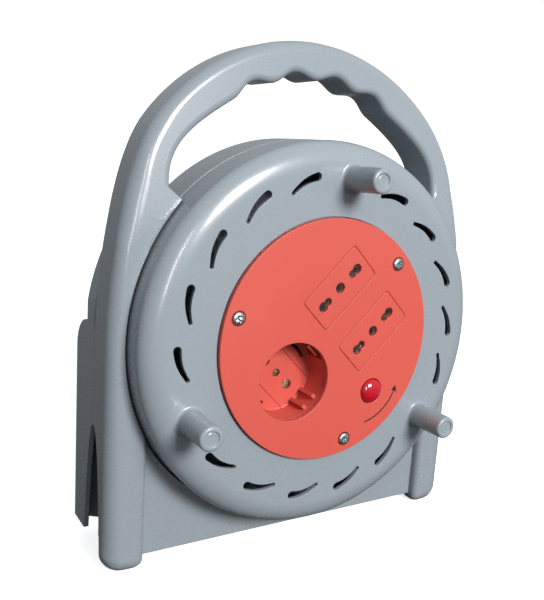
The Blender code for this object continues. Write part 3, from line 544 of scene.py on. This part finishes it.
def front_shell():
    lip = Vector(polar(BARREL_RADIUS, LIP_ANGLE))
    right = [
        (100 * MM, PANEL_BOTTOM),
        (100 * MM, 45 * MM),
        (94 * MM, 62 * MM),
        polar(104 * MM, LIP_ANGLE - math.radians(2)),
        tuple(lip),
    ]
    rim = arc((0, 0), BARREL_RADIUS, LIP_ANGLE, math.pi - LIP_ANGLE, 40)[1:-1]
    reach = math.acos(PILLAR_INNER / BARREL_RADIUS)
    behind_panel = [(PILLAR_INNER, PANEL_BOTTOM + WALL)]
    behind_panel += arc((0, 0), BARREL_RADIUS, -reach, -math.pi + reach, 64)
    behind_panel += [(-PILLAR_INNER, PANEL_BOTTOM + WALL)]
    guard = rod((0, 0), RECESS_RADIUS + WALL, 10 * MM, 60 * MM, 144)
    inside = between(band_stations()[13:-13])
    channel = combined(band(inside, WALL, PARTING + 5 * MM), [("DIFFERENCE", guard)])
    steps = [
        ("UNION", prism([right + rim + mirrored(right)], PANEL_FRONT, PARTING)),
        ("DIFFERENCE", prism([behind_panel], PANEL_FRONT + WALL, PARTING + 5 * MM)),
        ("DIFFERENCE", channel),
        ("DIFFERENCE", rod((0, 0), RECESS_RADIUS, 10 * MM, RECESS_DEPTH, 144)),
        ("DIFFERENCE", rod((0, 0), BARREL_BORE, 15 * MM, PARTING + 5 * MM, 144)),
    ]
    for side in (-1, 1):
        steps.append(("DIFFERENCE", notch(side)))
        toe = (side * 97 * MM, -111.4 * MM, TOE_BACK + 15 * MM)
        steps.append(("DIFFERENCE", block(toe, (26 * MM, 20 * MM, 30 * MM))))
        for x, y in SHELL_SCREWS:
            place = (side * x, y)
            steps.append(("UNION", rod(place, 3.6 * MM, 26.5 * MM, PARTING - 0.3 * MM, 28)))
            steps.append(("DIFFERENCE", rod(place, 1.65 * MM, 28 * MM, PARTING + 5 * MM, 16)))
    return combined(band(band_stations(), 0, PARTING), steps)


def base_section(inset, front):
    """The base from the side, (depth, height), with its rounded shoulder drawn in by inset."""
    radius = BASE_REAR - BARREL_REAR - inset
    middle = (BARREL_REAR, BASE_TOP - BASE_REAR + BARREL_REAR)
    bottom = BASE_BOTTOM - (20 * MM if inset else 0)
    shoulder = arc(middle, radius, 0, math.pi / 2, 20)
    return [(front, bottom), (BASE_REAR - inset, bottom)] + shoulder + [(front, BASE_TOP - inset)]


def lean_gap(side):
    """Room in the rear shell's shoulder for the front shell's edge where that leans back."""
    heights = [(46 + 2 * i) * MM for i in range(8)] + [80 * MM]
    outline = [(PARTING + SEAM + lean(y), y) for y in heights]
    outline += [(38 * MM, 80 * MM), (38 * MM, 46 * MM)]
    return sideways(outline, *sorted((side * 69.5 * MM, side * 112 * MM)))


def rear_shell():
    front = PARTING + SEAM
    flat = math.acos(HALF_WIDTH / SHOULDER_RADIUS)
    right = [(HALF_WIDTH, -30 * MM)] + arc((0, 0), SHOULDER_RADIUS, flat, LIP_ANGLE, 20)
    rim = arc((0, 0), BARREL_RADIUS, LIP_ANGLE, math.pi - LIP_ANGLE, 56)
    hollow = sideways(base_section(WALL, 38 * MM), WALL - HALF_WIDTH, HALF_WIDTH - WALL)
    barrel = rod((0, 0), BARREL_RADIUS, 30 * MM, BARREL_REAR, 144)
    steps = [
        ("UNION", prism([right + rim + mirrored(right)], front, BARREL_REAR)),
        ("DIFFERENCE", combined(hollow, [("DIFFERENCE", barrel)])),
        ("DIFFERENCE", rod((0, 0), BARREL_BORE, 30 * MM, BARREL_REAR - WALL, 144)),
    ]
    for side in (-1, 1):
        start, end = math.radians(8), math.radians(40.5)
        slot = arc((0, 0), SHOULDER_RADIUS - 3.4 * MM, start, end, 16)
        slot += arc((0, 0), BARREL_RADIUS + WALL, end, start, 16)
        slot = [(side * x, y) for x, y in slot]
        wall_middle = (side * 95.2 * MM, -73.2 * MM, 60 * MM)
        wall_turn = side * math.atan2(15.8, 21)
        steps += [
            ("DIFFERENCE", prism([slot], 38 * MM, BARREL_REAR - WALL)),
            ("DIFFERENCE", lean_gap(side)),
            ("DIFFERENCE", notch(side)),
            ("UNION", block(wall_middle, (23.4 * MM, 56.2 * MM, 2.2 * MM), wall_turn, "Y")),
        ]
        for x, y in SHELL_SCREWS:
            place = (side * x, y)
            back = BARREL_REAR if y > 0 else BASE_REAR
            steps += [
                ("UNION", rod(place, 4.6 * MM, front, back - 1 * MM)),
                ("DIFFERENCE", rod(place, 3.6 * MM, 48.5 * MM, BASE_REAR + 5 * MM)),
                ("DIFFERENCE", rod(place, 1.9 * MM, 35 * MM, 50 * MM, 20)),
            ]
    steps.append(("UNION", block((0, -103 * MM, 64.4 * MM), (140 * MM, 19 * MM, 7 * MM))))
    steps.append(("DIFFERENCE", rod((0, 0), 2.3 * MM, 45 * MM, 55 * MM, 20)))
    return combined(sideways(base_section(0, front), -HALF_WIDTH, HALF_WIDTH), steps)


# Drum


def vent(step):
    """A swoosh-shaped hole in the flange, from a broad round head to a narrow tail."""
    head_angle, tail_angle = step + VENT_HEAD[1], step + VENT_TAIL[1]
    steps = 12
    outer, inner = [], []
    for i in range(steps + 1):
        share = i / steps
        angle = head_angle + (tail_angle - head_angle) * share
        bow = 0.9 * MM * math.sin(math.pi * share)
        radius = VENT_HEAD[0] + (VENT_TAIL[0] - VENT_HEAD[0]) * share + bow
        half = VENT_HEAD[2] + (VENT_TAIL[2] - VENT_HEAD[2]) * share
        outer.append(polar(radius + half, angle))
        inner.append(polar(radius - half, angle))
    head = polar(VENT_HEAD[0], head_angle)
    tail = polar(VENT_TAIL[0], tail_angle)
    head_cap = arc(head, VENT_HEAD[2], head_angle + math.pi, head_angle + 2 * math.pi, 12)
    tail_cap = arc(tail, VENT_TAIL[2], tail_angle, tail_angle + math.pi, 6)
    return inner[1:-1][::-1] + head_cap + outer[1:-1] + tail_cap


def crank_peg(angle):
    """A moulded peg: dimpled end with a fine ring, slight taper and a fillet at its foot."""
    profile = [
        (0, PEG_TIP + 0.62 * MM),
        (1.9 * MM, PEG_TIP + 0.62 * MM),
        (2.6 * MM, PEG_TIP + 0.5 * MM),
        (3.0 * MM, PEG_TIP + 0.68 * MM),
        (3.35 * MM, PEG_TIP + 0.6 * MM),
        (3.6 * MM, PEG_TIP + 0.08 * MM),
        (3.85 * MM, PEG_TIP),
        (4.7 * MM, PEG_TIP + 0.04 * MM),
        (5.25 * MM, PEG_TIP + 0.2 * MM),
        (5.65 * MM, PEG_TIP + 0.55 * MM),
        (5.86 * MM, PEG_TIP + 1.0 * MM),
        (5.93 * MM, PEG_TIP + 1.6 * MM),
        (6.25 * MM, -0.6 * MM),
        (6.34 * MM, 0.5 * MM),
        (6.5 * MM, 1.15 * MM),
        (6.8 * MM, 1.7 * MM),
        (7.3 * MM, 2.1 * MM),
        (7.9 * MM, 2.24 * MM),
        (7.9 * MM, 3.6 * MM),
        (0, 3.6 * MM),
    ]
    return turned(profile, 64, polar(PEG_CIRCLE, angle))


def flange_bend(inset, steps):
    """The flange's rounded rim, from its face out to its side."""
    across, deep = FLANGE_ROUND
    middle = (FLANGE_RADIUS - across, FLANGE_FACE + deep)
    turns = [math.pi / 2 * i / steps for i in range(steps + 1)]
    return [
        (middle[0] + (across - inset) * math.sin(t), middle[1] - (deep - inset) * math.cos(t))
        for t in turns
    ]


def drum_flange():
    outside = flange_bend(0, 20)
    inside = flange_bend(2.2 * MM, 10)[::-1]
    profile = [(FLANGE_BORE, LEDGE_DEPTH), (LEDGE_RADIUS, LEDGE_DEPTH)]
    profile += [(LEDGE_RADIUS, FLANGE_FACE + 0.3 * MM)]
    profile += [(LEDGE_RADIUS + 0.1 * MM, FLANGE_FACE + 0.08 * MM), (LEDGE_RADIUS + 0.35 * MM, FLANGE_FACE)]
    profile += outside + [(FLANGE_RADIUS, FLANGE_BACK), (FLANGE_RADIUS - 2.2 * MM, FLANGE_BACK)]
    profile += inside + [(63.6 * MM, 4.6 * MM), (63.6 * MM, 5.8 * MM), (FLANGE_BORE, 5.8 * MM)]
    steps = [("UNION", crank_peg(angle)) for angle in PEG_ANGLES]
    vents = [vent(PEG_ANGLES[0] + VENT_STEP * k) for k in range(18) if k % 6]
    steps.append(("DIFFERENCE", prism(vents, -3 * MM, 12 * MM)))
    angles = PLATE_SCREW_ANGLES + FLANGE_SCREW_ANGLES
    holes = [circle(polar(SCREW_CIRCLE, a), 1.9 * MM, 20) for a in angles]
    steps.append(("DIFFERENCE", prism(holes, 0, 10 * MM)))
    return combined(turned(profile, 192), steps)


def socket_plate():
    room = (INSERT_SIZE[0] + 0.5 * MM, INSERT_SIZE[1] + 0.5 * MM)
    screws = [polar(SCREW_CIRCLE, a) for a in PLATE_SCREW_ANGLES]
    loops = [circle((0, 0), PLATE_RADIUS, 192), circle(WELL_CENTRE, WELL_RADIUS, 96)]
    loops += [circle(BUTTON_CENTRE, BUTTON_HOLE, 48)]
    loops += [rounded_rectangle(c, room, 1.7 * MM, RISING) for c in INSERT_CENTRES.values()]
    loops += [circle(place, 1.8 * MM, 24) for place in screws]
    steps = [("DIFFERENCE", rod(place, 3.75 * MM, -2 * MM, 1 * MM, 40)) for place in screws]
    pockets = [circle(polar(SCREW_CIRCLE, a), 3.7 * MM, 28) for a in FLANGE_SCREW_ANGLES]
    steps.append(("DIFFERENCE", prism(pockets, 1.2 * MM, 5 * MM)))
    return combined(prism(loops, 0, PLATE_BACK, 0.25 * MM), steps)


def double_hole(centre, angle, side, grow=0.0):
    """Outline of a narrow and a wide pin hole that run into each other."""
    narrow, wide = NARROW_PIN[1] + grow, WIDE_PIN[1] + grow
    apart = WIDE_PIN[0] - NARROW_PIN[0]
    meet = (apart * apart + narrow * narrow - wide * wide) / (2 * apart)
    heading = angle if side > 0 else angle + math.pi
    turn_wide = math.pi - math.acos((apart - meet) / wide)
    turn_narrow = math.acos(meet / narrow)
    big_middle = polar(WIDE_PIN[0], heading, centre)
    small_middle = polar(NARROW_PIN[0], heading, centre)
    big = arc(big_middle, wide, heading - turn_wide, heading + turn_wide, 32)
    small = arc(small_middle, narrow, heading + turn_narrow, heading + 2 * math.pi - turn_narrow, 24)
    return big + small[1:-1]


def insert(level):
    centre = INSERT_CENTRES[level]
    body = rounded_rectangle(centre, INSERT_SIZE, 1.5 * MM, RISING)
    holes = [circle(centre, EARTH_HOLE, 40)] + [double_hole(centre, RISING, side) for side in (1, -1)]
    room = [circle(centre, 3.7 * MM, 32)]
    room += [double_hole(centre, RISING, side, 1.1 * MM) for side in (1, -1)]
    steps = [("DIFFERENCE", prism(room, 2.2 * MM, INSERT_BACK + 5 * MM))]
    return combined(prism([body] + holes, 0, INSERT_BACK, 0.22 * MM), steps)


def well():
    profile = [
        (0, WELL_FLOOR),
        (WELL_RADIUS - 0.5 * MM, WELL_FLOOR),
        (WELL_RADIUS - 0.1 * MM, WELL_FLOOR - 0.2 * MM),
        (WELL_RADIUS, WELL_FLOOR - 0.6 * MM),
        (WELL_RADIUS, LEDGE_DEPTH),
        (WELL_OUTER, LEDGE_DEPTH),
        (WELL_OUTER, WELL_BACK),
        (0, WELL_BACK),
    ]
    steps = []
    for angle in (FALLING, FALLING + math.pi):
        foot = polar(18.6 * MM, angle, WELL_CENTRE)
        for side in (-1, 1):
            rib = polar(side * 3.6 * MM, angle + math.pi / 2, foot)
            steps.append(("UNION", block((*rib, 11.3 * MM), (3.2 * MM, 2 * MM, 12.6 * MM), angle)))
    for angle in (RISING, RISING + math.pi):
        window = polar(20 * MM, angle, WELL_CENTRE)
        seam = polar(10.4 * MM, angle, WELL_CENTRE)
        steps.append(("DIFFERENCE", block((*window, 9.2 * MM), (8 * MM, 12.5 * MM, 14.4 * MM), angle)))
        steps.append(("DIFFERENCE", block((*seam, WELL_FLOOR), (0.5 * MM, 32.6 * MM, 0.9 * MM), angle)))
        slot = arc(WELL_CENTRE, 17.6 * MM, angle - 0.36, angle + 0.36, 14)
        slot += arc(WELL_CENTRE, 15.8 * MM, angle + 0.36, angle - 0.36, 14)
        steps.append(("DIFFERENCE", prism([slot], WELL_FLOOR - 1 * MM, WELL_BACK + 1 * MM)))
    pins = [polar(d * WELL_PIN, FALLING, WELL_CENTRE) for d in (-1, 1)]
    holes = [circle(pin, 2.55 * MM, 40) for pin in pins] + [circle(WELL_CENTRE, 2.1 * MM, 40)]
    steps.append(("DIFFERENCE", prism(holes, 10 * MM, 25 * MM)))
    return combined(turned(profile, 120, WELL_CENTRE), steps)


def screw(centre, head_front, end, head=3.25 * MM, shank=1.35 * MM, turn=0.0):
    """A pan-head screw with a stepped cross recess, facing the front."""
    profile = [(0, 0), (head * 0.5, 0.03 * MM), (head * 0.72, 0.12 * MM), (head * 0.88, 0.34 * MM)]
    profile += [(head * 0.97, 0.7 * MM), (head, 1.15 * MM), (head, 1.75 * MM), (head * 0.97, 1.8 * MM)]
    profile += [(shank, 1.8 * MM), (shank, end - head_front - 1.2 * MM), (0, end - head_front)]
    steps = []
    for quarter in (0, math.pi / 2):
        arm = (head * 1.16, 0.95 * MM, 2.3 * MM)
        steps.append(("DIFFERENCE", block((0, 0, 0), arm, turn + quarter)))
        fine = (head * 0.9, 0.35 * MM, 1.0 * MM)
        steps.append(("DIFFERENCE", block((0, 0, 0), fine, turn + quarter + math.pi / 4)))
    made = combined(turned(profile, 48), steps)
    made.transform(Matrix.Translation((*centre, -head_front)))
    return made


def button():
    dome = []
    for i in range(1, 17):
        turn = i / 16 * math.pi / 2
        dome.append((6.4 * MM * math.sin(turn), 0.4 * MM - 3.4 * MM * math.cos(turn)))
    profile = [(0, -3.0 * MM)] + dome
    profile += [(6.4 * MM, 3.6 * MM), (2.6 * MM, 3.6 * MM), (2.6 * MM, 12.5 * MM), (0, 12.5 * MM)]
    return turned(profile, 72, BUTTON_CENTRE)


def reset_sign():
    """Printed sign by the button: an arc that ends in an arrowhead, bent round towards it."""
    middle = (20.5 * MM, -20.5 * MM)
    start, end = math.radians(-78), math.radians(-22)
    outer = arc(middle, 25.6 * MM, start, end, 30)
    inner = arc(middle, 24.8 * MM, end, start, 30)
    tip = polar(25.2 * MM, end + math.radians(7), middle)
    head = [polar(27.2 * MM, end, middle), tip, polar(23.2 * MM, end, middle)]
    return prism([outer + head + inner], -0.03 * MM, 0.01 * MM)


show("front_shell_fine", front_shell(), "frame", "grey_plastic", "front_shell")
show("rear_shell_fine", rear_shell(), "frame", "grey_plastic", "rear_shell")
show("drum_flange_fine", drum_flange(), "drum", "grey_plastic", "drum_front_flange")
show("socket_plate_fine", socket_plate(), "drum", "red_plastic", "socket_plate")
show("round_well_fine", well(), "drum", "red_plastic", "schuko_well")
for name in INSERT_CENTRES:
    show(f"insert_{name}_fine", insert(name), "drum", "red_plastic", f"italian_insert_{name}")
for i, angle in enumerate(PLATE_SCREW_ANGLES):
    made = screw(polar(SCREW_CIRCLE, angle), -1.1 * MM, 18 * MM, turn=0.5 + i)
    show(f"plate_screw_fine_{i + 1}", made, "drum", "zinc_steel", f"plate_screw_{i + 1}")
show("reset_button_fine", button(), "button", "button_red", "reset_button")
show("reset_sign", reset_sign(), "drum", "black_plastic", material=INK)


# Floor, light and camera


def stage_material():
    made = Nodes("studio_paper")
    made.colours(made.noise(3.0, 2.0), (0.90, 0.90, 0.90), (0.93, 0.93, 0.93))
    made.shader.inputs["Roughness"].default_value = 0.9
    made.shader.inputs["Specular IOR Level"].default_value = 0.1
    made.shader.inputs["Emission Color"].default_value = (1, 1, 1, 1)
    made.shader.inputs["Emission Strength"].default_value = 0.72
    return made.material


def sweep_floor():
    """A floor that curves up into a backdrop."""
    curve = [(-3.0, 0.0), (1.2, 0.0)]
    turns = [t / 12 * math.pi / 2 for t in range(1, 13)]
    curve += [(1.2 + 0.9 * math.sin(turn), 0.9 - 0.9 * math.cos(turn)) for turn in turns]
    curve += [(2.1, 4.0)]
    points = [(x, y, z) for y, z in curve for x in (-4.0, 4.0)]
    faces = [(2 * i, 2 * i + 1, 2 * i + 3, 2 * i + 2) for i in range(len(curve) - 1)]
    mesh = bpy.data.meshes.new("paper_sweep")
    mesh.from_pydata(points, [], faces)
    mesh.shade_smooth()
    mesh.materials.append(stage_material())
    made = bpy.data.objects.new("paper_sweep", mesh)
    bpy.context.scene.collection.objects.link(made)
    made.visible_diffuse = False
    made.visible_glossy = False
    made.visible_shadow = False


def floor_flag():
    """A dark card just under the paper keeps the undersides and the insides dark."""
    corners = ((-0.3, -0.2), (0.3, -0.2), (0.3, 0.3), (-0.3, 0.3))
    card = bpy.data.meshes.new("floor_flag")
    card.from_pydata([(x, y, -2 * MM) for x, y in corners], [], [(0, 1, 2, 3)])
    card.materials.append(BLACK)
    made = bpy.data.objects.new("floor_flag", card)
    bpy.context.scene.collection.objects.link(made)
    made.visible_glossy = False
    made.visible_shadow = False


def softbox(name, place, target, size, power, diffuse=True, glossy=True):
    light = bpy.data.lights.new(name, "AREA")
    light.shape = "RECTANGLE"
    light.size, light.size_y = size
    light.energy = power
    made = bpy.data.objects.new(name, light)
    made.location = place
    direction = Vector(target) - Vector(place)
    made.rotation_euler = direction.to_track_quat("-Z", "Y").to_euler()
    made.visible_diffuse = diffuse
    made.visible_glossy = glossy
    bpy.context.scene.collection.objects.link(made)


def shoot():
    """The camera stands to the left of the reel and a little above its middle."""
    azimuth, elevation, roll = 0.5502634, 0.1892992, 0.0642361
    level_reach = math.cos(elevation)
    forward = Vector(
        (math.sin(azimuth) * level_reach, math.cos(azimuth) * level_reach, -math.sin(elevation))
    )
    level = Vector((math.cos(azimuth), -math.sin(azimuth), 0))
    upward = level.cross(forward)
    right = level * math.cos(roll) + upward * math.sin(roll)
    up = upward * math.cos(roll) - level * math.sin(roll)
    turn = Matrix((right, up, -forward)).transposed().to_4x4()
    lens = bpy.data.cameras.new("camera")
    lens.sensor_fit = "VERTICAL"
    lens.sensor_height = 36
    lens.lens = 44.37
    lens.clip_start = 0.01
    camera = bpy.data.objects.new("camera", lens)
    camera.matrix_world = Matrix.Translation((-0.2109, -0.3101, 0.1994)) @ turn
    bpy.context.scene.collection.objects.link(camera)
    bpy.context.scene.camera = camera


def studio_air():
    """Dim room light, darker from below."""
    world = bpy.data.worlds.new("studio")
    world.use_nodes = True
    tree = world.node_tree
    background = tree.nodes["Background"]
    background.inputs["Color"].default_value = (0.94, 0.97, 1.0, 1)
    place = tree.nodes.new("ShaderNodeTexCoord")
    axes = tree.nodes.new("ShaderNodeSeparateXYZ")
    spread = tree.nodes.new("ShaderNodeMapRange")
    spread.inputs["From Min"].default_value = -0.6
    spread.inputs["From Max"].default_value = 0.4
    spread.inputs["To Min"].default_value = 0.04
    spread.inputs["To Max"].default_value = 0.48
    tree.links.new(place.outputs["Generated"], axes.inputs["Vector"])
    tree.links.new(axes.outputs["Z"], spread.inputs["Value"])
    tree.links.new(spread.outputs["Result"], background.inputs["Strength"])
    return world


sweep_floor()
floor_flag()
MIDDLE = (0, 0, 0.12)
softbox("key", (0.16, -1.44, 0.80), MIDDLE, (0.5, 0.5), 33)
softbox("strip", (-0.52, -1.13, 0.42), MIDDLE, (0.05, 0.6), 4, diffuse=False)
bpy.context.scene.world = studio_air()
bpy.context.scene.view_settings.view_transform = "Standard"
shoot()
